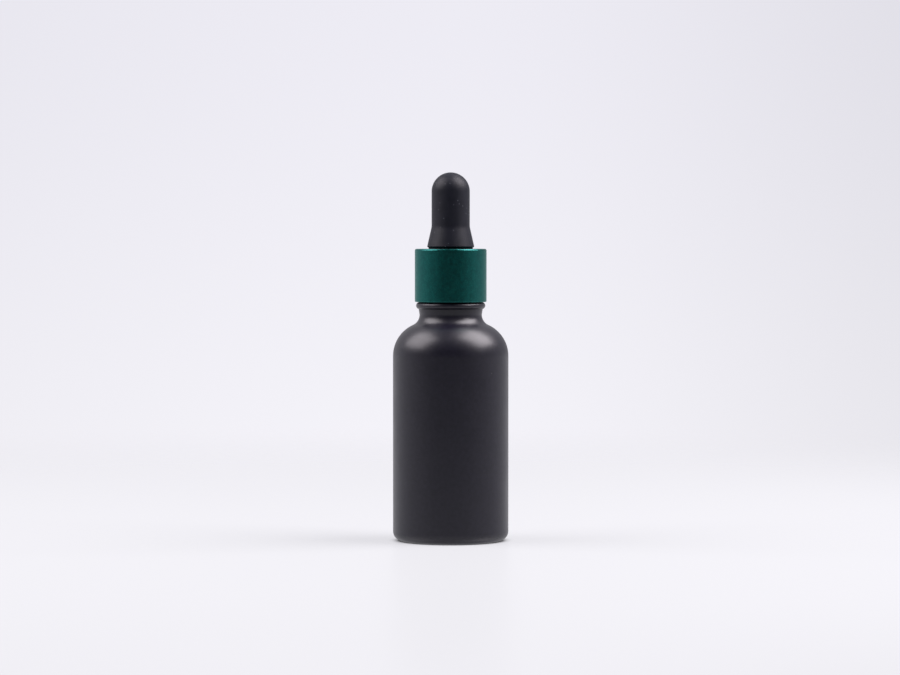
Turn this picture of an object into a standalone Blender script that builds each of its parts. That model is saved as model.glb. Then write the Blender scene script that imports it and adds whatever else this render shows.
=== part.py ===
"""A 30 ml dropper bottle: a glass bottle and the screw closure that carries its pipette and rubber bulb.

Metres, +Z up. The bottle stands on z = 0 with its axis on Z. Every piece is turned about that
axis, and a right-hand thread holds the closure to the neck. The closure hangs from an empty on
the bottle's lip, so its heights are measured from there.
"""

import math

import bmesh
import bpy

SEGMENTS = 36  # faces round a turned piece
GAP = 0.00015  # between pieces that rest on each other
CORNER_ANGLE = math.radians(32)  # edges sharper than this stay crisp

# Bottle, outside
BODY_RADIUS = 0.0165
HEEL_RADIUS = 0.0026
SHOULDER_RADIUS = 0.00975
SHOULDER_Z = 0.05275  # centre of the shoulder's arc
NECK_RADIUS = 0.0089
NECK_FILLET = 0.0032
BEAD_Z = 0.06715
BEAD_CREST = 0.00989
BEAD_RADIUS = 0.0010
FINISH_RADIUS = 0.00795  # root of the thread
LIP_Z = 0.0789
LIP_ROUND = 0.0004
BEARING_RADIUS = 0.0115  # the base stands on the ring from here to the heel
PUNT_RADIUS = 0.0106
PUNT_DEPTH = 0.0010

# Bottle, inside
WALL = 0.0020
FLOOR_Z = 0.0035
INNER_HEEL = 0.0025
BORE_RADIUS = 0.0056
BORE_FILLET = 0.0045

# Thread
PITCH = 0.0030
THREAD_TURNS = 1.5
RUN_OUT = 0.12  # turns over which a ridge fades at each end
RUN_OUT_SIZE = 0.3  # share of the ridge's size left at its end
NECK_RIDGE_BELOW_LIP = 0.0074
NECK_RIDGE_CENTRE = 0.0079
NECK_RIDGE_SIZE = 0.0009
CAP_RIDGE_CENTRE = 0.00885
CAP_RIDGE_SIZE = 0.0006

# Closure, measured up from the lip
WASHER_THICKNESS = 0.0009
WASHER_RADIUS = 0.0077
WASHER_BORE = 0.00375
FLANGE_THICKNESS = 0.0015
FLANGE_RADIUS = 0.0078
DECK_THICKNESS = 0.00105
CAP_RADIUS = 0.00965
CAP_ROOT = 0.0090
CAP_BOTTOM = -0.0106
CAP_EDGE = 0.0003
COLLAR_RADIUS = 0.01025
COLLAR_WALL = 0.00045
COLLAR_BOTTOM = -0.0107
COLLAR_TOP_ROUND = 0.0005
COLLAR_BOTTOM_ROUND = 0.0002
TOP_THICKNESS = 0.0004
TOP_HOLE = 0.00655

# Bulb
GROOVE_RADIUS = 0.0063
GROOVE_ABOVE_COLLAR = 0.00035
SKIRT_RADIUS = 0.00675
SKIRT_EDGE = 0.0002
CONE_TOP = 0.0107
BULB_RADIUS = 0.00545
BULB_WALL = 0.00115
DOME_CENTRE = 0.0208
CHAMBER_BOTTOM = 0.0072
CHAMBER_EASE = 0.0005
BULB_BORE = 0.00365

# Pipette
PIPETTE_RADIUS = 0.0035
PIPETTE_WALL = 0.0010
PIPETTE_TOP = 0.0086
PIPETTE_BEAD = 0.0005
TIP_Z = -0.0689
TIP_RADIUS = 0.0014
TIP_BORE = 0.00055
TIP_LENGTH = 0.0030
TAPER_LENGTH = 0.0100

# Name: base colour, roughness, metallic, transmission
FINISHES = {
    "sprayed_black_glass": ((0.016, 0.016, 0.018), 0.42, 0.0, 0.0),
    "anodised_green": ((0.005, 0.115, 0.098), 0.34, 1.0, 0.0),
    "black_rubber": ((0.013, 0.013, 0.014), 0.62, 0.0, 0.0),
    "black_plastic": ((0.012, 0.012, 0.013), 0.38, 0.0, 0.0),
    "white_plastic": ((0.80, 0.80, 0.78), 0.45, 0.0, 0.0),
    "clear_glass": ((0.96, 0.98, 0.98), 0.03, 0.0, 1.0),
}


def clear_scene():
    for obj in list(bpy.data.objects):
        bpy.data.objects.remove(obj, do_unlink=True)


def collection(name):
    made = bpy.data.collections.new(name)
    bpy.context.scene.collection.children.link(made)
    return made


def material(name):
    colour, roughness, metallic, transmission = FINISHES[name]
    made = bpy.data.materials.new(name)
    made.use_nodes = True
    shader = made.node_tree.nodes["Principled BSDF"]
    shader.inputs["Base Color"].default_value = (*colour, 1.0)
    shader.inputs["Roughness"].default_value = roughness
    shader.inputs["Metallic"].default_value = metallic
    shader.inputs["Transmission Weight"].default_value = transmission
    made.diffuse_color = (*colour, 1.0)
    return made


def arc(centre, radius, start, end, count):
    """count + 1 points (r, z) on an arc, by angles in degrees, where 0 points away from the axis."""
    points = []
    for index in range(count + 1):
        angle = math.radians(start + (end - start) * index / count)
        points.append((centre[0] + radius * math.cos(angle), centre[1] + radius * math.sin(angle)))
    return points


def evaluated_mesh(obj):
    graph = bpy.context.evaluated_depsgraph_get()
    return bpy.data.meshes.new_from_object(obj.evaluated_get(graph))


def settle(obj):
    """Makes what the modifiers show the object's own mesh, smooth but crisp at its corners."""
    mesh = evaluated_mesh(obj)
    obj.modifiers.clear()
    obj.data = mesh
    mesh.shade_smooth()
    mesh.set_sharp_from_angle(angle=CORNER_ANGLE)


def turned(name, outline, finish, group, closed=False):
    """The outline (r, z), which runs down its outer side, turned about Z."""
    mesh = bpy.data.meshes.new(name)
    edges = [(index, index + 1) for index in range(len(outline) - 1)]
    if closed:
        edges.append((len(outline) - 1, 0))
    mesh.from_pydata([(r, 0.0, z) for r, z in outline], edges, [])
    obj = bpy.data.objects.new(name, mesh)
    group.objects.link(obj)
    screw = obj.modifiers.new("Turn", "SCREW")
    screw.axis = "Z"
    screw.angle = 2 * math.pi
    screw.steps = SEGMENTS
    screw.render_steps = SEGMENTS
    screw.use_merge_vertices = True
    screw.merge_threshold = 0.00001
    settle(obj)
    obj.data.materials.append(material(finish))
    return obj


def helical_ridge(name, low, wall, centre, size, group):
    """A round ridge on a wall of the given radius, winding up right-handed and fading at both ends."""
    curve = bpy.data.curves.new(name, "CURVE")
    curve.dimensions = "3D"
    curve.bevel_depth = size
    curve.bevel_resolution = 2
    curve.use_fill_caps = True
    spline = curve.splines.new("POLY")
    steps = round(THREAD_TURNS * SEGMENTS)
    spline.points.add(steps)
    for index, point in enumerate(spline.points):
        turn = index / SEGMENTS
        angle = 2 * math.pi * turn
        fade = min(1.0, turn / RUN_OUT, (THREAD_TURNS - turn) / RUN_OUT)
        radius = wall + (centre - wall) * fade
        point.co = (radius * math.cos(angle), radius * math.sin(angle), low + PITCH * turn, 1.0)
        point.radius = RUN_OUT_SIZE + (1 - RUN_OUT_SIZE) * fade
    guide = bpy.data.objects.new(name + "_curve", curve)
    group.objects.link(guide)
    mesh = evaluated_mesh(guide)
    ridge = bpy.data.objects.new(name, mesh)
    ridge.matrix_world = guide.matrix_world
    group.objects.link(ridge)
    bpy.data.objects.remove(guide)
    shape = bmesh.new()
    shape.from_mesh(mesh)
    bmesh.ops.remove_doubles(shape, verts=shape.verts, dist=0.000001)
    bmesh.ops.recalc_face_normals(shape, faces=shape.faces)
    shape.to_mesh(mesh)
    shape.free()
    ridge.hide_render = True
    ridge.display_type = "WIRE"
    return ridge


def add_ridge(obj, ridge):
    """Moulds the ridge into the piece."""
    union = obj.modifiers.new("Thread", "BOOLEAN")
    union.operation = "UNION"
    union.solver = "EXACT"
    union.object = ridge
    settle(obj)


def shoulder(radius, fillet, neck, count):
    """Neck to wall, downwards: a hollow fillet that runs at a tangent into the shoulder's arc."""
    centre_r = BODY_RADIUS - SHOULDER_RADIUS
    across = neck + fillet - centre_r
    rise = math.sqrt((radius + fillet) ** 2 - across**2)
    lean = math.degrees(math.atan2(rise, across))
    hollow = arc((neck + fillet, SHOULDER_Z + rise), fillet, 180, 180 + lean, count)
    crown = arc((centre_r, SHOULDER_Z), radius, lean, 0, count + 2)
    return hollow + crown[1:]


def bottle_outline():
    inner_radius = BODY_RADIUS - WALL
    outline = [(0.0, FLOOR_Z)]
    outline += arc((inner_radius - INNER_HEEL, FLOOR_Z + INNER_HEEL), INNER_HEEL, -90, 0, 4)
    outline += reversed(shoulder(SHOULDER_RADIUS - WALL, BORE_FILLET, BORE_RADIUS, 4))
    outline += arc((BORE_RADIUS + LIP_ROUND, LIP_Z - LIP_ROUND), LIP_ROUND, 180, 90, 2)
    outline += arc((FINISH_RADIUS - LIP_ROUND, LIP_Z - LIP_ROUND), LIP_ROUND, 90, 0, 2)
    outline.append((FINISH_RADIUS, BEAD_Z + BEAD_RADIUS))
    outline += arc((BEAD_CREST - BEAD_RADIUS, BEAD_Z), BEAD_RADIUS, 90, -75, 7)
    outline += shoulder(SHOULDER_RADIUS, NECK_FILLET, NECK_RADIUS, 6)
    outline += arc((BODY_RADIUS - HEEL_RADIUS, HEEL_RADIUS), HEEL_RADIUS, 0, -90, 5)
    outline += [(BEARING_RADIUS, 0.0), (PUNT_RADIUS, PUNT_DEPTH / 2), (0.0, PUNT_DEPTH)]
    return outline


def make_bottle(group, ridges):
    bottle = turned("bottle", bottle_outline(), "sprayed_black_glass", group)
    low = LIP_Z - NECK_RIDGE_BELOW_LIP
    ridge = helical_ridge(
        "neck_ridge", low, FINISH_RADIUS, NECK_RIDGE_CENTRE, NECK_RIDGE_SIZE, ridges
    )
    add_ridge(bottle, ridge)
    return bottle


def make_washer(group):
    low = GAP
    high = low + WASHER_THICKNESS
    outline = [
        (WASHER_BORE, high),
        (WASHER_RADIUS, high),
        (WASHER_RADIUS, low),
        (WASHER_BORE, low),
    ]
    return turned("sealing_washer", outline, "white_plastic", group, closed=True)


def flange_heights():
    """Bottom and top of the bulb's flange, which the cap presses onto the washer."""
    low = GAP + WASHER_THICKNESS + GAP
    return low, low + FLANGE_THICKNESS


def make_inner_cap(group, ridges):
    under = flange_heights()[1] + GAP
    top = under + DECK_THICKNESS
    outline = [(TOP_HOLE, top)]
    outline += [(CAP_RADIUS - CAP_EDGE, top), (CAP_RADIUS, top - CAP_EDGE)]
    outline += [(CAP_RADIUS, CAP_BOTTOM), (CAP_ROOT, CAP_BOTTOM)]
    outline += [(CAP_ROOT, under), (TOP_HOLE, under)]
    cap = turned("inner_cap", outline, "black_plastic", group, closed=True)
    low = PITCH / 2 - NECK_RIDGE_BELOW_LIP
    ridge = helical_ridge("cap_ridge", low, CAP_ROOT, CAP_RIDGE_CENTRE, CAP_RIDGE_SIZE, ridges)
    add_ridge(cap, ridge)
    return cap


def collar_top():
    return flange_heights()[1] + GAP + DECK_THICKNESS + GAP + TOP_THICKNESS


def make_collar(group):
    top = collar_top()
    inner = COLLAR_RADIUS - COLLAR_WALL
    edge = COLLAR_BOTTOM_ROUND
    outline = [(TOP_HOLE, top)]
    rounded = (COLLAR_RADIUS - COLLAR_TOP_ROUND, top - COLLAR_TOP_ROUND)
    outline += arc(rounded, COLLAR_TOP_ROUND, 90, 0, 4)
    outline += arc((COLLAR_RADIUS - edge, COLLAR_BOTTOM + edge), edge, 0, -90, 2)
    outline += [(inner, COLLAR_BOTTOM), (inner, top - TOP_THICKNESS), (TOP_HOLE, top - TOP_THICKNESS)]
    return turned("collar", outline, "anodised_green", group, closed=True)


def make_bulb(group):
    flange_low, flange_high = flange_heights()
    skirt = collar_top() + GROOVE_ABOVE_COLLAR
    chamber = BULB_RADIUS - BULB_WALL
    outline = [(0.0, DOME_CENTRE + BULB_RADIUS)]
    outline += arc((0.0, DOME_CENTRE), BULB_RADIUS, 90, 0, 8)[1:]
    outline += [(BULB_RADIUS, CONE_TOP), (SKIRT_RADIUS, skirt + SKIRT_EDGE)]
    outline += [(SKIRT_RADIUS - SKIRT_EDGE, skirt), (GROOVE_RADIUS, skirt)]
    outline += [(GROOVE_RADIUS, flange_high), (FLANGE_RADIUS, flange_high)]
    outline += [(FLANGE_RADIUS, flange_low), (BULB_BORE, flange_low)]
    outline += [(BULB_BORE, CHAMBER_BOTTOM - CHAMBER_EASE), (chamber, CHAMBER_BOTTOM)]
    outline += arc((0.0, DOME_CENTRE), chamber, 0, 90, 6)[:-1]
    outline.append((0.0, DOME_CENTRE + chamber))
    return turned("bulb", outline, "black_rubber", group)


def make_pipette(group):
    bore = PIPETTE_RADIUS - PIPETTE_WALL
    bead_z = PIPETTE_TOP - PIPETTE_BEAD
    taper_z = TIP_Z + TIP_LENGTH + TAPER_LENGTH
    outline = [(bore, PIPETTE_TOP)]
    outline += arc((PIPETTE_RADIUS, bead_z), PIPETTE_BEAD, 90, -90, 4)
    outline += [(PIPETTE_RADIUS, taper_z), (TIP_RADIUS, TIP_Z + TIP_LENGTH), (TIP_RADIUS, TIP_Z)]
    outline += [(TIP_BORE, TIP_Z), (TIP_BORE, TIP_Z + TIP_LENGTH), (bore, taper_z)]
    return turned("pipette", outline, "clear_glass", group, closed=True)


def hang_closure(pieces, group):
    """Seats the closure's pieces on the bottle's lip."""
    seat = bpy.data.objects.new("closure_seat", None)
    seat.location = (0.0, 0.0, LIP_Z)
    group.objects.link(seat)
    for piece in pieces:
        piece.parent = seat


def main():
    clear_scene()
    group = collection("dropper_bottle")
    ridges = collection("thread_ridges")
    make_bottle(group, ridges)
    closure = [
        make_washer(group),
        make_inner_cap(group, ridges),
        make_collar(group),
        make_bulb(group),
        make_pipette(group),
    ]
    hang_closure(closure, group)


main()
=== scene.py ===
"""The looks of the dropper bottle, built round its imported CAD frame.

Metres, +Z up, the bottle's axis on Z. Every CAD solid is replaced by a finer piece turned to the
same profile, with rolled edges, smooth threads and a surface of its own. The closure's pieces
hang from the bottle's lip, as they do in the CAD.
"""

import math

import bpy
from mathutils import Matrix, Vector


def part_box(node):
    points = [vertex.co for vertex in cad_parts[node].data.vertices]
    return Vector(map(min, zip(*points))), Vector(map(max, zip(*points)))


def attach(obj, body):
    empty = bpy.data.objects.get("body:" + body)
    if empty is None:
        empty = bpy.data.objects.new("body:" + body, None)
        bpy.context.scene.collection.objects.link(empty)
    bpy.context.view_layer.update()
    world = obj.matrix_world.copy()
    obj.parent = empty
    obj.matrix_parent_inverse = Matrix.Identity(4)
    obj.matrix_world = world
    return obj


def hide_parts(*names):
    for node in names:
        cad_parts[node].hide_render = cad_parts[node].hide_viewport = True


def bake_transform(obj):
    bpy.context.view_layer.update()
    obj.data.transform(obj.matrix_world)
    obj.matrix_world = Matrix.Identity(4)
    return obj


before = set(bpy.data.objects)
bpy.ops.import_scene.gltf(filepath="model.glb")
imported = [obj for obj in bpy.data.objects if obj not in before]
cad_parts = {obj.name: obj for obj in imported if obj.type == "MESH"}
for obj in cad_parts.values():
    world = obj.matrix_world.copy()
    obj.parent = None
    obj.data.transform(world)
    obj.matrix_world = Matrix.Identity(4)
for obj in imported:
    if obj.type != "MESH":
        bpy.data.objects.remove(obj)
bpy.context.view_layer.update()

SEGMENTS = 192  # faces round a turned piece
CORNER_ANGLE = math.radians(40)  # edges sharper than this stay crisp
SUPPORT = 0.00008  # a row this far from each end of a straight run keeps its shading flat
SHORT_RUN = 6 * SUPPORT  # straight runs under this get no rows of their own
ON_AXIS = 0.000001  # a point nearer the axis than this stands for its whole ring
ROW = 0.0030  # longest face on a straight run
FINE_ROW = 0.00016  # rows that carry a thread
BASE_ROW = 0.00025  # rows that carry the stippling
SOFT_ROW = 0.0006  # rows of a piece that bends
EDGE_ROWS = 5  # faces across a rolled edge
COLLAR_EDGE_ROWS = 8
INSIDE_ROWS = 8  # across the arcs inside the bottle
OUTSIDE_ROWS = 12
BEAD_ROWS = 14
DOME_ROWS = 24
CHAMBER_ROWS = 16
HEAD_ROWS = 10  # across the pipette's bead
TAPER_ROWS = 16

# Heights and radii taken from the frame
BODY_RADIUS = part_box("bottle")[1].x
LIP_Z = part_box("bottle")[1].z
WASHER_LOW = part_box("sealing_washer")[0].z
WASHER_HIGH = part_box("sealing_washer")[1].z
WASHER_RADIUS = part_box("sealing_washer")[1].x
CAP_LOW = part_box("inner_cap")[0].z
CAP_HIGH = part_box("inner_cap")[1].z
CAP_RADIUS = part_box("inner_cap")[1].x
COLLAR_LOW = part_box("collar")[0].z
COLLAR_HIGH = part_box("collar")[1].z
COLLAR_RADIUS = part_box("collar")[1].x
FLANGE_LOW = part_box("bulb")[0].z
FLANGE_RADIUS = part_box("bulb")[1].x
BULB_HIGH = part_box("bulb")[1].z
TIP_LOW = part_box("pipette")[0].z
PIPETTE_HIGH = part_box("pipette")[1].z

# Bottle
HEEL_RADIUS = 0.0026
SHOULDER_RADIUS = 0.00975
SHOULDER_Z = 0.05275
NECK_RADIUS = 0.0089
NECK_FILLET = 0.0032
BEAD_Z = 0.06715
BEAD_CREST = 0.00989
BEAD_RADIUS = 0.0010
BEAD_END = -75  # degrees round the bead to where it meets the neck
FINISH_RADIUS = 0.00795
FINISH_FILLET = 0.0003
LIP_ROUND = 0.0004
WALL = 0.0020
FLOOR_Z = 0.0035
INNER_HEEL = 0.0025
BORE_RADIUS = 0.0056
BORE_FILLET = 0.0045
BEARING_RADIUS = 0.0115
PUNT_RADIUS = 0.0106
PUNT_DEPTH = 0.0010
STIPPLES = 48  # dimples round the bearing ring
STIPPLE_DEPTH = 0.00012

# Thread
PITCH = 0.0030
THREAD_TURNS = 1.5
RUN_OUT = 0.12  # turns over which a ridge fades at each end
RIDGE_POWER = 0.75  # under 1 makes a ridge fuller than a cosine
NECK_RIDGE_BELOW_LIP = 0.0074
NECK_RIDGE_HEIGHT = 0.00082
NECK_RIDGE_HALF = 0.00118
CAP_RIDGE_HEIGHT = 0.00072
CAP_RIDGE_HALF = 0.00088

# Closure
WASHER_BORE = 0.00375
FLANGE_THICKNESS = 0.0015
DECK_THICKNESS = 0.00105
CAP_ROOT = 0.0090
COLLAR_WALL = 0.00045
TOP_THICKNESS = 0.0004
TOP_HOLE = 0.00655
GROOVE_RADIUS = 0.0063
GROOVE_ABOVE_COLLAR = 0.00035
SKIRT_RADIUS = 0.00675
CONE_TOP = 0.0107  # above the lip
BULB_RADIUS = 0.00545
BULB_WALL = 0.00115
BULB_BORE = 0.00365
CHAMBER_BOTTOM = 0.0072
PIPETTE_RADIUS = 0.0035
PIPETTE_BORE = 0.0025
PIPETTE_BEAD = 0.0005
TIP_RADIUS = 0.0014
TIP_BORE = 0.00055
TIP_LENGTH = 0.0030
TAPER_LENGTH = 0.0100

# Rolled edges and small steps
PUNT_ROUND = 0.0006
MOULDED_EDGE = 0.00015
CAP_TOP_ROUND = 0.0003
LEAD_IN = 0.0004  # plain wall at the cap's mouth
LEAD_OUT = 0.0003  # and under its deck
HOLE_EDGE = 0.00012
COLLAR_TOP_ROUND = 0.0005
COLLAR_BOTTOM_ROUND = 0.00026
COLLAR_ROOT_ROUND = 0.0002
CONE_BLEND = 0.0050  # where the bulb's straight wall runs into its skirt
SKIRT_LIFT = 0.0002  # how far the skirt's underside rises to its edge
SKIRT_ROLL = 0.00028
GROOVE_ROOT = 0.0001
RUBBER_EDGE = 0.0002
CHAMBER_STEP = 0.0005  # height over which the bore widens into the chamber
TIP_ROUND = 0.0004
TIP_BORE_ROUND = 0.0002


# Profiles, as points (r, z) that run down a piece's outer side


def arc(centre, radius, start, end, count):
    """count + 1 points on an arc, by angles in degrees, where 0 points away from the axis."""
    points = []
    for index in range(count + 1):
        angle = math.radians(start + (end - start) * index / count)
        points.append((centre[0] + radius * math.cos(angle), centre[1] + radius * math.sin(angle)))
    return points


def rounded(corners, closed=False, count=EDGE_ROWS):
    """A line through corners (r, z, radius), with each corner rolled to its own radius."""
    points = []
    last = len(corners) - 1
    for index, (r, z, radius) in enumerate(corners):
        if radius == 0 or (not closed and index in (0, last)):
            points.append((r, z))
            continue
        here = Vector((r, z))
        before = (Vector(corners[index - 1][:2]) - here).normalized()
        after = (Vector(corners[(index + 1) % (last + 1)][:2]) - here).normalized()
        half = before.angle(after) / 2
        centre = here + (before + after).normalized() * (radius / math.sin(half))
        first = here + before * (radius / math.tan(half)) - centre
        sweep = math.pi - 2 * half
        if before.x * after.y - before.y * after.x > 0:
            sweep = -sweep
        start = math.degrees(math.atan2(first.y, first.x))
        points += arc(centre, radius, start, start + math.degrees(sweep), count)
    return points


def filled(points, row=ROW, closed=False):
    """The same line with more rows on its straight runs, so that they shade flat."""
    made = []
    ends = points[1:] + (points[:1] if closed else [])
    for start, end in zip(points, ends):
        run = Vector(end) - Vector(start)
        made.append(start)
        if run.length < SHORT_RUN:
            continue
        steps = max(1, math.ceil((run.length - 2 * SUPPORT) / row))
        for step in range(steps + 1):
            along = SUPPORT + (run.length - 2 * SUPPORT) * step / steps
            made.append(tuple(Vector(start) + run * (along / run.length)))
    if not closed:
        made.append(points[-1])
    return made


def shoulder(radius, fillet, neck, count):
    """Neck to wall, downwards: a hollow fillet that runs at a tangent into the shoulder's arc."""
    centre_r = BODY_RADIUS - SHOULDER_RADIUS
    across = neck + fillet - centre_r
    rise = math.sqrt((radius + fillet) ** 2 - across**2)
    lean = math.degrees(math.atan2(rise, across))
    hollow = arc((neck + fillet, SHOULDER_Z + rise), fillet, 180, 180 + lean, count)
    crown = arc((centre_r, SHOULDER_Z), radius, lean, 0, 2 * count)
    return hollow + crown[1:]


# Reliefs, which move the points of a turned skin


def thread(low, height, half_width):
    """A right-handed ridge that starts at low, winds up the wall and fades at both ends."""

    def relief(r, z, turn):
        lift = 0.0
        for wrap in range(math.ceil(THREAD_TURNS)):
            along = turn + wrap
            off = abs(z - low - PITCH * along) / half_width
            if along > THREAD_TURNS or off >= 1:
                continue
            fade = min(1.0, along / RUN_OUT, (THREAD_TURNS - along) / RUN_OUT)
            fade = fade * fade * (3 - 2 * fade)
            lift = max(lift, fade * (0.5 + 0.5 * math.cos(math.pi * off)) ** RIDGE_POWER)
        return r + height * lift, z

    return relief


def stippling(r, z, turn):
    """Dimples round the ring that the bottle stands on."""
    outer = BODY_RADIUS - HEEL_RADIUS
    across = (r - BEARING_RADIUS) / (outer - BEARING_RADIUS)
    if not 0 < across < 1:
        return r, z
    wave = 0.5 + 0.5 * math.cos(2 * math.pi * STIPPLES * turn)
    return r, z + STIPPLE_DEPTH * wave * math.sin(math.pi * across)


def turned(name, sections, closed=False):
    """Sections (points, relief, material index), each running on from the last, turned about Z."""
    verts = []
    rings = []
    indices = []
    for points, relief, index in sections:
        for r, z in points:
            ring = []
            for step in range(SEGMENTS if r > ON_AXIS else 1):
                turn = step / SEGMENTS
                out, up = relief(r, z, turn) if relief else (r, z)
                angle = 2 * math.pi * turn
                ring.append(len(verts))
                verts.append((out * math.cos(angle), out * math.sin(angle), up))
            rings.append(ring)
            indices.append(index)
    faces = []
    face_indices = []
    pairs = list(zip(rings, rings[1:] + (rings[:1] if closed else [])))
    for row, (upper, lower) in enumerate(pairs):
        for step in range(SEGMENTS):
            after = (step + 1) % SEGMENTS
            corners = [
                upper[step % len(upper)],
                lower[step % len(lower)],
                lower[after % len(lower)],
                upper[after % len(upper)],
            ]
            faces.append(list(dict.fromkeys(corners)))
            face_indices.append(indices[row])
    mesh = bpy.data.meshes.new(name)
    mesh.from_pydata(verts, [], faces)
    mesh.polygons.foreach_set("material_index", face_indices)
    mesh.shade_smooth()
    mesh.set_sharp_from_angle(angle=CORNER_ANGLE)
    mesh.validate()
    obj = bpy.data.objects.new(name, mesh)
    bpy.context.scene.collection.objects.link(obj)
    return obj


# Nodes and materials


MIX_FACTOR = 0  # sockets of a Mix node for colours, whose names are not unique
MIX_A = 6
MIX_B = 7
MIX_RESULT = 2
SPECK_CORE = 0.6  # the share of a speck's radius that is solid
SPECK_EDGE = 0.001  # how sharply specks are picked


class Nodes:
    """The nodes of a material or of the world."""

    def __init__(self, owner):
        owner.use_nodes = True
        self.tree = owner.node_tree

    def node(self, kind, **settings):
        made = self.tree.nodes.new(kind)
        for setting, value in settings.items():
            setattr(made, setting, value)
        return made

    def link(self, output, socket):
        self.tree.links.new(output, socket)

    def ranged(self, source, low, high, start=0.3, end=0.7, interpolation="LINEAR"):
        """Goes from low to high as the source goes from start to end.

        Noise keeps mostly between 0.3 and 0.7.
        """
        made = self.node("ShaderNodeMapRange", interpolation_type=interpolation)
        made.inputs["From Min"].default_value = start
        made.inputs["From Max"].default_value = end
        made.inputs["To Min"].default_value = low
        made.inputs["To Max"].default_value = high
        self.link(source, made.inputs["Value"])
        return made.outputs["Result"]

    def ramp(self, source, low, high, start, end):
        """The same with soft ends."""
        return self.ranged(source, low, high, start, end, "SMOOTHSTEP")

    def maths(self, operation, one, other=0.0):
        """Combines a socket with another, or with a number."""
        made = self.node("ShaderNodeMath", operation=operation)
        self.link(one, made.inputs[0])
        if isinstance(other, float):
            made.inputs[1].default_value = other
        else:
            self.link(other, made.inputs[1])
        return made.outputs["Value"]

    def mixed(self, factor, one, other):
        """Mixes two shaders by a factor, which is a socket or a number."""
        made = self.node("ShaderNodeMixShader")
        if isinstance(factor, float):
            made.inputs["Fac"].default_value = factor
        else:
            self.link(factor, made.inputs["Fac"])
        self.link(one, made.inputs[1])
        self.link(other, made.inputs[2])
        return made.outputs["Shader"]


class Surface(Nodes):
    """A Principled material and the nodes that vary it, in metres on the piece itself."""

    def __init__(self, name, colour, roughness, **constants):
        self.material = bpy.data.materials.new(name)
        super().__init__(self.material)
        self.shader = self.tree.nodes["Principled BSDF"]
        self.place = self.node("ShaderNodeTexCoord").outputs["Object"]
        self.colour = (*colour, 1)
        self.shader.inputs["Base Color"].default_value = self.colour
        self.shader.inputs["Roughness"].default_value = roughness
        for socket, value in constants.items():
            self.shader.inputs[socket.replace("_", " ")].default_value = value
        self.normal = None

    def noise(self, size, detail):
        """Noise from 0 to 1 whose features are about size across."""
        made = self.node("ShaderNodeTexNoise")
        made.inputs["Scale"].default_value = 1 / size
        made.inputs["Detail"].default_value = detail
        self.link(self.place, made.inputs["Vector"])
        return made.outputs["Fac"]

    def specks(self, spacing, size, share):
        """1 on small round specks, of which only a share is shown, and 0 elsewhere."""
        cells = self.node("ShaderNodeTexVoronoi")
        cells.inputs["Scale"].default_value = 1 / spacing
        self.link(self.place, cells.inputs["Vector"])
        radius = size / spacing
        spot = self.ranged(cells.outputs["Distance"], 1, 0, radius * SPECK_CORE, radius)
        pick = self.node("ShaderNodeSeparateColor")
        self.link(cells.outputs["Color"], pick.inputs["Color"])
        chosen = self.ranged(pick.outputs["Red"], 0, 1, 1 - share, 1 + SPECK_EDGE - share)
        return self.maths("MULTIPLY", spot, chosen)

    def tint(self, factor, colour):
        """Mixes another colour over the base by a factor."""
        mix = self.node("ShaderNodeMix", data_type="RGBA")
        base = self.shader.inputs["Base Color"]
        if base.is_linked:
            self.link(base.links[0].from_socket, mix.inputs[MIX_A])
        else:
            mix.inputs[MIX_A].default_value = self.colour
        mix.inputs[MIX_B].default_value = (*colour, 1)
        self.link(factor, mix.inputs[MIX_FACTOR])
        self.link(mix.outputs[MIX_RESULT], base)

    def roughen(self, source, low, high):
        """Varies the roughness from low to high."""
        self.link(self.ranged(source, low, high), self.shader.inputs["Roughness"])

    def bump(self, source, height):
        """Adds a relief of that height in metres."""
        made = self.node("ShaderNodeBump")
        made.inputs["Distance"].default_value = height
        made.inputs["Strength"].default_value = 1.0
        self.link(source, made.inputs["Height"])
        if self.normal is not None:
            self.link(self.normal, made.inputs["Normal"])
        self.normal = made.outputs["Normal"]
        self.link(self.normal, self.shader.inputs["Normal"])


def lacquer():
    """Matte black spray over glass: a fine even texture, a slow unevenness and stray dust."""
    made = Surface("matte_black_lacquer", (0.0030, 0.0027, 0.0078), 0.36, IOR=1.45)
    made.tint(made.ranged(made.noise(0.0011, 3), 0, 1), (0.0062, 0.0056, 0.0125))
    made.tint(made.specks(0.0040, 0.00009, 0.25), (0.16, 0.16, 0.17))
    made.roughen(made.noise(0.0060, 4), 0.335, 0.385)
    made.bump(made.noise(0.0100, 1), 0.000050)
    made.bump(made.noise(0.00030, 2), 0.0000055)
    return made.material


def bare_glass():
    """The inside of the sprayed bottle: glass with the black coat behind it."""
    made = Surface("black_glass_inside", (0.006, 0.006, 0.007), 0.06, IOR=1.5)
    made.roughen(made.noise(0.0030, 3), 0.04, 0.10)
    made.bump(made.noise(0.0060, 1), 0.00003)
    return made.material


def anodised():
    """Bead-blasted aluminium under a clear green anodised skin."""
    made = Surface(
        "green_anodised_aluminium",
        (0.0020, 0.086, 0.079),
        0.34,
        Metallic=1.0,
        Specular_Tint=(0.60, 0.84, 0.80, 1),
        Coat_Weight=0.24,
        Coat_Roughness=0.26,
        Coat_IOR=1.6,
    )
    made.tint(made.ranged(made.noise(0.00036, 2), 0, 1, 0.46, 0.60), (0.0044, 0.108, 0.094))
    made.tint(made.ranged(made.noise(0.0014, 3), 0, 0.6, 0.45, 0.7), (0.0012, 0.068, 0.066))
    made.tint(made.specks(0.0026, 0.00008, 0.2), (0.30, 0.42, 0.38))
    made.roughen(made.noise(0.0009, 4), 0.29, 0.40)
    made.bump(made.noise(0.00022, 2), 0.0000060)
    return made.material


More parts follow.
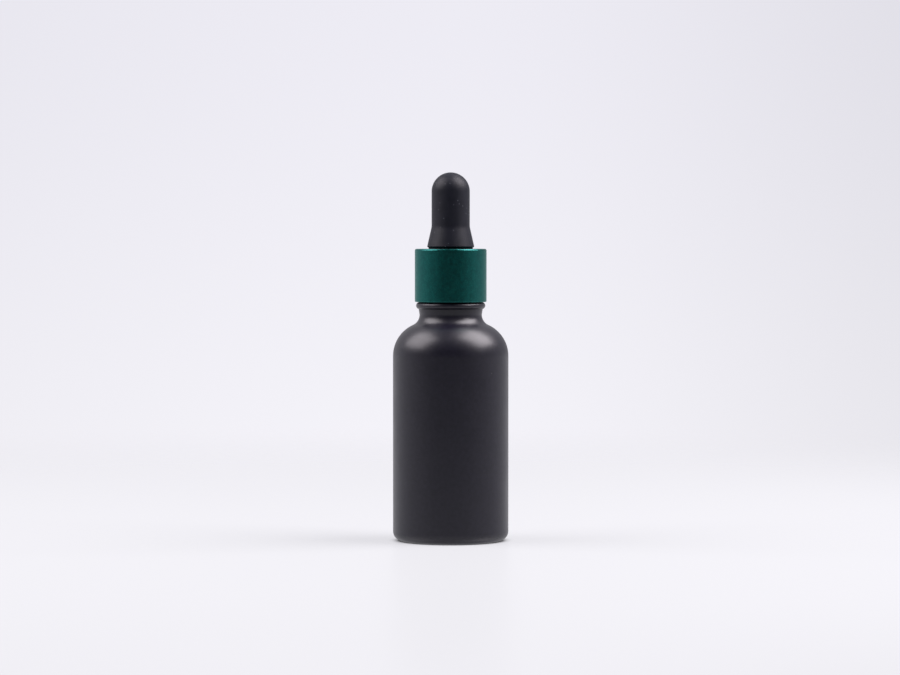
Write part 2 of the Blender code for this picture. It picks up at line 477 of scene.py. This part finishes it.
def rubber():
    """Matte black rubber with a dry bloom and a few specks of dust."""
    made = Surface("black_rubber", (0.0024, 0.0032, 0.0080), 0.52, IOR=1.32)
    made.tint(made.ranged(made.noise(0.0024, 4), 0, 1), (0.0052, 0.0060, 0.0120))
    made.tint(made.specks(0.0013, 0.00013, 0.75), (0.10, 0.11, 0.13))
    made.roughen(made.noise(0.0012, 3), 0.48, 0.56)
    made.bump(made.noise(0.0050, 1), 0.000040)
    made.bump(made.noise(0.00028, 3), 0.0000055)
    return made.material


def cap_plastic():
    """Moulded black polypropylene."""
    made = Surface("black_polypropylene", (0.0120, 0.0120, 0.0130), 0.38, IOR=1.49)
    made.tint(made.ranged(made.noise(0.0040, 2), 0, 1), (0.0160, 0.0160, 0.0170))
    made.roughen(made.noise(0.0015, 3), 0.32, 0.44)
    made.bump(made.noise(0.00040, 2), 0.0000040)
    return made.material


def washer_plastic():
    """Natural white polyethylene, with light showing through it."""
    made = Surface(
        "white_polyethylene",
        (0.80, 0.80, 0.77),
        0.45,
        IOR=1.51,
        Subsurface_Weight=0.3,
        Subsurface_Scale=0.001,
    )
    made.tint(made.ranged(made.noise(0.0030, 2), 0, 1), (0.74, 0.74, 0.70))
    made.roughen(made.noise(0.0010, 3), 0.40, 0.52)
    made.bump(made.noise(0.00060, 2), 0.0000080)
    return made.material


def tube_glass():
    """Clear drawn tubing, faintly wavy along its length."""
    made = Surface("clear_glass", (0.915, 0.945, 0.940), 0.006, IOR=1.5, Transmission_Weight=1.0)
    made.tint(made.ranged(made.noise(0.0060, 2), 0, 1), (0.935, 0.960, 0.955))
    made.roughen(made.noise(0.0040, 4), 0.002, 0.012)
    made.bump(made.noise(0.0080, 1), 0.00001)
    return made.material


# Pieces


def finish_piece(piece, body, node, slot, *materials):
    """Gives a piece its materials, hides the CAD part of its node, and gives it its body if it
    rides only one. The slot is not used.
    """
    for made in materials:
        piece.data.materials.append(made)
    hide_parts(node)
    if body:
        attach(piece, body)


def make_bottle():
    """The inside up to the lip, then the finish and its ridge, the outside and the base."""
    inner_radius = BODY_RADIUS - WALL
    heel = (inner_radius - INNER_HEEL, FLOOR_Z + INNER_HEEL)
    inside = [(0.0, FLOOR_Z)]
    inside += arc(heel, INNER_HEEL, -90, 0, INSIDE_ROWS)
    inside += reversed(shoulder(SHOULDER_RADIUS - WALL, BORE_FILLET, BORE_RADIUS, INSIDE_ROWS))
    inside += arc((BORE_RADIUS + LIP_ROUND, LIP_Z - LIP_ROUND), LIP_ROUND, 180, 90, EDGE_ROWS)
    lip = arc((FINISH_RADIUS - LIP_ROUND, LIP_Z - LIP_ROUND), LIP_ROUND, 90, 0, EDGE_ROWS)
    bead_top = BEAD_Z + BEAD_RADIUS
    root = rounded(
        [
            (*lip[-1], 0),
            (FINISH_RADIUS, bead_top, FINISH_FILLET),
            (BEAD_CREST - BEAD_RADIUS, bead_top, 0),
        ]
    )
    bead = (BEAD_CREST - BEAD_RADIUS, BEAD_Z)
    outside = arc(bead, BEAD_RADIUS, 90, BEAD_END, BEAD_ROWS)
    outside += shoulder(SHOULDER_RADIUS, NECK_FILLET, NECK_RADIUS, OUTSIDE_ROWS)
    heel = (BODY_RADIUS - HEEL_RADIUS, HEEL_RADIUS)
    outside += arc(heel, HEEL_RADIUS, 0, -90, OUTSIDE_ROWS)
    base = [(heel[0], 0.0), (BEARING_RADIUS, 0.0)]
    punt = rounded(
        [
            (BEARING_RADIUS, 0.0, 0),
            (PUNT_RADIUS, PUNT_DEPTH / 2, PUNT_ROUND),
            (0.0, PUNT_DEPTH, 0),
        ]
    )
    ridge = thread(LIP_Z - NECK_RIDGE_BELOW_LIP, NECK_RIDGE_HEIGHT, NECK_RIDGE_HALF)
    sections = [
        (filled(inside), None, 1),
        (lip[:-1], None, 0),
        (filled(root, FINE_ROW)[:-1], ridge, 0),
        (filled(outside)[:-1], None, 0),
        (filled(base, BASE_ROW)[:-1], stippling, 0),
        (filled(punt), None, 0),
    ]
    piece = turned("glass_bottle", sections)
    finish_piece(piece, "bottle", "bottle", "sprayed_black_glass", lacquer(), bare_glass())


def make_washer():
    """A flat ring between the lip and the bulb's flange."""
    corners = [
        (WASHER_BORE, WASHER_HIGH, MOULDED_EDGE),
        (WASHER_RADIUS, WASHER_HIGH, MOULDED_EDGE),
        (WASHER_RADIUS, WASHER_LOW, MOULDED_EDGE),
        (WASHER_BORE, WASHER_LOW, MOULDED_EDGE),
    ]
    line = filled(rounded(corners, closed=True), closed=True)
    piece = turned("sealing_washer_ring", [(line, None, 0)], closed=True)
    finish_piece(piece, "washer", "sealing_washer", "white_plastic", washer_plastic())


def make_cap():
    """The screw cap inside the collar, with a ridge that stands in from its wall."""
    under = CAP_HIGH - DECK_THICKNESS
    mouth = CAP_LOW + LEAD_IN
    shell = rounded(
        [
            (CAP_ROOT, under, 0),
            (TOP_HOLE, under, MOULDED_EDGE),
            (TOP_HOLE, CAP_HIGH, MOULDED_EDGE),
            (CAP_RADIUS, CAP_HIGH, CAP_TOP_ROUND),
            (CAP_RADIUS, CAP_LOW, MOULDED_EDGE),
            (CAP_ROOT, CAP_LOW, MOULDED_EDGE),
            (CAP_ROOT, mouth, 0),
        ]
    )
    wall = [(CAP_ROOT, mouth), (CAP_ROOT, under - LEAD_OUT)]
    low = LIP_Z + PITCH / 2 - NECK_RIDGE_BELOW_LIP
    ridge = thread(low, -CAP_RIDGE_HEIGHT, CAP_RIDGE_HALF)
    sections = [(filled(shell)[:-1], None, 0), (filled(wall, FINE_ROW), ridge, 0)]
    piece = turned("threaded_inner_cap", sections, closed=True)
    finish_piece(piece, "screw_cap", "inner_cap", "black_plastic", cap_plastic())


def make_collar():
    """A thin shell over the cap, turned in over its deck up to the bulb."""
    inner = COLLAR_RADIUS - COLLAR_WALL
    under = COLLAR_HIGH - TOP_THICKNESS
    corners = [
        (TOP_HOLE, COLLAR_HIGH, HOLE_EDGE),
        (COLLAR_RADIUS, COLLAR_HIGH, COLLAR_TOP_ROUND),
        (COLLAR_RADIUS, COLLAR_LOW, COLLAR_BOTTOM_ROUND),
        (inner, COLLAR_LOW, MOULDED_EDGE),
        (inner, under, COLLAR_ROOT_ROUND),
        (TOP_HOLE, under, HOLE_EDGE),
    ]
    line = filled(rounded(corners, closed=True, count=COLLAR_EDGE_ROWS), closed=True)
    piece = turned("anodised_collar", [(line, None, 0)], closed=True)
    finish_piece(piece, "screw_cap", "collar", "anodised_green", anodised())


def make_bulb():
    """Dome, wall, skirt, groove and flange outside; bore and chamber inside."""
    skirt = COLLAR_HIGH + GROOVE_ABOVE_COLLAR
    dome = BULB_HIGH - BULB_RADIUS
    chamber = BULB_RADIUS - BULB_WALL
    chamber_low = LIP_Z + CHAMBER_BOTTOM
    flange_high = FLANGE_LOW + FLANGE_THICKNESS
    line = arc((0.0, dome), BULB_RADIUS, 90, 0, DOME_ROWS)[:-1]
    line += rounded(
        [
            (BULB_RADIUS, dome, 0),
            (BULB_RADIUS, LIP_Z + CONE_TOP, CONE_BLEND),
            (SKIRT_RADIUS, skirt + SKIRT_LIFT, SKIRT_ROLL),
            (GROOVE_RADIUS, skirt, RUBBER_EDGE),
            (GROOVE_RADIUS, flange_high, GROOVE_ROOT),
            (FLANGE_RADIUS, flange_high, RUBBER_EDGE),
            (FLANGE_RADIUS, FLANGE_LOW, RUBBER_EDGE),
            (BULB_BORE, FLANGE_LOW, RUBBER_EDGE),
            (BULB_BORE, chamber_low - CHAMBER_STEP, RUBBER_EDGE),
            (chamber, chamber_low, RUBBER_EDGE),
            (chamber, dome, 0),
        ]
    )[:-1]
    line += arc((0.0, dome), chamber, 0, 90, CHAMBER_ROWS)
    piece = turned("rubber_bulb", [(filled(line, SOFT_ROW), None, 0)])
    finish_piece(piece, None, "bulb", "black_rubber", rubber())
    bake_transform(piece)


def make_pipette():
    """A glass tube with a bead at its head and a drawn tip."""
    taper = TIP_LOW + TIP_LENGTH + TAPER_LENGTH
    line = [(PIPETTE_BORE, PIPETTE_HIGH)]
    head = (PIPETTE_RADIUS, PIPETTE_HIGH - PIPETTE_BEAD)
    line += arc(head, PIPETTE_BEAD, 90, -90, HEAD_ROWS)
    outer = []
    inner = []
    for row in range(TAPER_ROWS + 1):
        share = row / TAPER_ROWS
        ease = share * share * (3 - 2 * share)
        z = taper - TAPER_LENGTH * share
        outer.append((PIPETTE_RADIUS + (TIP_RADIUS - PIPETTE_RADIUS) * ease, z))
        inner.append((PIPETTE_BORE + (TIP_BORE - PIPETTE_BORE) * ease, z))
    line += outer
    line += rounded(
        [
            (TIP_RADIUS, TIP_LOW + TIP_LENGTH / 2, 0),
            (TIP_RADIUS, TIP_LOW, TIP_ROUND),
            (TIP_BORE, TIP_LOW, TIP_BORE_ROUND),
            (TIP_BORE, TIP_LOW + TIP_LENGTH / 2, 0),
        ]
    )
    line += reversed(inner)
    piece = turned("glass_pipette", [(filled(line, closed=True), None, 0)], closed=True)
    finish_piece(piece, "dropper", "pipette", "clear_glass", tube_glass())


# Studio


FLOOR_RINGS = (0.0, 0.05, 0.2, 0.6, 1.2)  # radii, out to the floor's edge
FLOOR_FADE = (0, 1, 0.16, 0.55)  # lost in the backdrop over these distances
FLOOR_LIT = (0.125, 0.131, 0.130)  # the share of the floor's brightness that takes shadows
FLOOR_GLOW = (0.648, 0.640, 0.676)  # the rest, a glow that takes no cast shadows, only a painted contact shadow close to the bottle
FLOOR_SHEEN = 0.12
SHEEN_ROUGHNESS = 0.30
PAINTED_CONTACT_SHADOW_REACH = 0.0045  # how near the bottle has to be for the painted contact shadow to dim the floor's glow
PAINTED_CONTACT_SHADOW = (0.0, 1.0, 0.0, 0.75)  # the glow under the painted contact shadow, by how open the floor is
BACKDROP_LOW = (0.913, 0.902, 0.952)  # down by the floor
BACKDROP_HIGH = (0.848, 0.836, 0.904)  # above the bottle, darker by painted shade
MIRRORED_TINT = (0.96, 0.945, 1.0)
DIM_ROOM = 0.060  # what the bottle mirrors all round, and nothing more from the camera's side

# Ramps over a direction's x (right), y (back) or z (up): low, high, start and end
BACKDROP_RISE = (0, 1, -0.10, 0.08)  # by z, the backdrop's painted shade from the floor upward
PAINTED_SHADE_RIGHT = (1.0, 0.88, 0.0, 0.18)  # by x, the backdrop's brightness: painted shade that dims it towards the right
# by x, painted shade that dims the backdrop a little towards the left
PAINTED_SHADE_LEFT = (0.95, 1.0, -0.20, 0.0)
BRIGHT_BACK = (0.0, 0.58, -0.3, 0.7)  # by y
DIM_RIGHT = (1.0, 0.65, 0.0, 0.7)  # by x, the share of the bright back
BRIGHT_TOP = (0.0, 0.20, 0.45, 1.0)  # by z
SIDE_GLOW = (0.0, 0.25, 0.45, 0.90)  # by how far off to a side
SIDE_FALL = (1.0, 0.0, 0.1, 0.5)  # by z, the share of the side glow
TABLE = (0.13, 0.90, -0.6, 0.0)  # by y, dim on the camera's side
TABLE_EDGE = (1.0, 0.0, -0.02, 0.0)  # by z, the table lies below the horizon

SOFTBOX_COLOUR = (1.0, 0.94, 0.985)
SOFTBOX_DISTANCE = 0.80
SOFTBOX_AIM = LIP_Z * 0.6  # height of the point that they face
SOFTBOXES = (  # name, azimuth (90 is the bottle's right), elevation, size and power
    ("left_softbox", -86, 44, (0.66, 0.60), 8.7),
    ("right_softbox", 86, 51, (0.62, 0.66), 14.0),
)
CAMERA_PLACE = (-0.0002, -0.928, 0.088)
CAMERA_TILT = 1.85  # degrees below level
CAMERA_LENS = 130.0
CAMERA_SENSOR = 36.0
CAMERA_CLIP = (0.01, 20.0)


def make_floor():
    """A pale sweep that catches the shadows near the bottle and is lost in the backdrop.

    Its glow is dimmed by a painted contact shadow where the bottle stands on it, for the camera
    only, so that light still gets to the base. It is clear from below, so that a low camera still
    sees the bottle.
    """
    line = [(radius, 0.0) for radius in FLOOR_RINGS]
    floor = turned("studio_floor", [(line, None, 0)])
    material = bpy.data.materials.new("studio_floor")
    studio = Nodes(material)
    studio.tree.nodes.clear()
    length = studio.node("ShaderNodeVectorMath", operation="LENGTH")
    studio.link(studio.node("ShaderNodeTexCoord").outputs["Object"], length.inputs[0])
    lit = studio.node("ShaderNodeBsdfDiffuse")
    lit.inputs["Color"].default_value = (*FLOOR_LIT, 1)
    glow = studio.node("ShaderNodeEmission")
    glow.inputs["Color"].default_value = (*FLOOR_GLOW, 1)
    openness = studio.node("ShaderNodeAmbientOcclusion")
    openness.inputs["Distance"].default_value = PAINTED_CONTACT_SHADOW_REACH
    # painted contact shadow: the glow dims where the bottle closes over the floor
    painted_contact_shadow = studio.ramp(openness.outputs["AO"], *PAINTED_CONTACT_SHADOW)
    camera = studio.node("ShaderNodeLightPath").outputs["Is Camera Ray"]
    unseen = studio.ramp(camera, 1.0, 0.0, 0.0, 1.0)  # 1 for all other rays
    studio.link(studio.maths("MAXIMUM", painted_contact_shadow, unseen), glow.inputs["Strength"])
    flat = studio.node("ShaderNodeAddShader")
    studio.link(lit.outputs["BSDF"], flat.inputs[0])
    studio.link(glow.outputs["Emission"], flat.inputs[1])
    sheen = studio.node("ShaderNodeBsdfGlossy")
    sheen.inputs["Roughness"].default_value = SHEEN_ROUGHNESS
    near = studio.mixed(FLOOR_SHEEN, flat.outputs["Shader"], sheen.outputs["BSDF"])
    clear = studio.node("ShaderNodeBsdfTransparent").outputs["BSDF"]
    far = studio.ramp(length.outputs["Value"], *FLOOR_FADE)
    below = studio.node("ShaderNodeNewGeometry").outputs["Backfacing"]
    seen = studio.mixed(studio.maths("MAXIMUM", far, below), near, clear)
    studio.link(seen, studio.node("ShaderNodeOutputMaterial").inputs["Surface"])
    floor.data.materials.append(material)


def make_world():
    """Pale all round for the camera, with painted shade that dims it upward and to the sides; a
    dim room with a bright back for what the bottle mirrors.
    """
    world = bpy.data.worlds.new("studio")
    bpy.context.scene.world = world
    studio = Nodes(world)
    studio.tree.nodes.clear()
    split = studio.node("ShaderNodeSeparateXYZ")
    studio.link(studio.node("ShaderNodeTexCoord").outputs["Generated"], split.inputs["Vector"])
    x, y, z = (split.outputs[axis] for axis in "XYZ")

    colour = studio.node("ShaderNodeMix", data_type="RGBA")
    colour.inputs[MIX_A].default_value = (*BACKDROP_LOW, 1)
    colour.inputs[MIX_B].default_value = (*BACKDROP_HIGH, 1)
    studio.link(studio.ramp(z, *BACKDROP_RISE), colour.inputs[MIX_FACTOR])
    # painted shade on the backdrop, towards the right and the left
    right = studio.ramp(x, *PAINTED_SHADE_RIGHT)
    left = studio.ramp(x, *PAINTED_SHADE_LEFT)
    seen = studio.node("ShaderNodeBackground")
    studio.link(colour.outputs[MIX_RESULT], seen.inputs["Color"])
    studio.link(studio.maths("MULTIPLY", left, right), seen.inputs["Strength"])

    back = studio.ramp(y, *BRIGHT_BACK)
    back = studio.maths("MULTIPLY", back, studio.ramp(x, *DIM_RIGHT))
    top = studio.ramp(z, *BRIGHT_TOP)
    sides = studio.ramp(studio.maths("ABSOLUTE", x), *SIDE_GLOW)
    sides = studio.maths("MULTIPLY", sides, studio.ramp(z, *SIDE_FALL))
    room = studio.maths("ADD", studio.maths("ADD", back, top), DIM_ROOM)
    room = studio.maths("ADD", room, sides)
    table = studio.ramp(y, *TABLE)
    table = studio.maths("MULTIPLY", table, studio.ramp(z, *TABLE_EDGE))
    mirrored = studio.node("ShaderNodeBackground")
    mirrored.inputs["Color"].default_value = (*MIRRORED_TINT, 1)
    studio.link(studio.maths("MAXIMUM", room, table), mirrored.inputs["Strength"])

    camera = studio.node("ShaderNodeLightPath").outputs["Is Camera Ray"]
    mix = studio.mixed(camera, mirrored.outputs["Background"], seen.outputs["Background"])
    studio.link(mix, studio.node("ShaderNodeOutputWorld").inputs["Surface"])


def make_softbox(name, azimuth, elevation, size, power):
    """An area light that faces the bottle from that direction and lights only, unseen."""
    light = bpy.data.lights.new(name, "AREA")
    light.shape = "RECTANGLE"
    light.size, light.size_y = size
    light.energy = power
    light.color = SOFTBOX_COLOUR
    lamp = bpy.data.objects.new(name, light)
    across = math.radians(azimuth)
    up = math.radians(elevation)
    away = Vector(
        (math.sin(across) * math.cos(up), -math.cos(across) * math.cos(up), math.sin(up))
    )
    lamp.location = Vector((0, 0, SOFTBOX_AIM)) + away * SOFTBOX_DISTANCE
    lamp.rotation_euler = away.to_track_quat("Z", "Y").to_euler()
    lamp.visible_camera = False
    bpy.context.scene.collection.objects.link(lamp)


def make_camera():
    """A long lens in front of the bottle, a little above the collar and tilted down a little."""
    data = bpy.data.cameras.new("camera")
    data.sensor_width = CAMERA_SENSOR
    data.lens = CAMERA_LENS
    data.clip_start, data.clip_end = CAMERA_CLIP
    camera = bpy.data.objects.new("camera", data)
    camera.location = CAMERA_PLACE
    camera.rotation_euler = (math.radians(90 - CAMERA_TILT), 0.0, 0.0)
    bpy.context.scene.collection.objects.link(camera)
    bpy.context.scene.camera = camera


make_bottle()
make_washer()
make_cap()
make_collar()
make_bulb()
make_pipette()
make_floor()
make_world()
for softbox in SOFTBOXES:
    make_softbox(*softbox)
make_camera()
bpy.context.scene.view_settings.view_transform = "Standard"
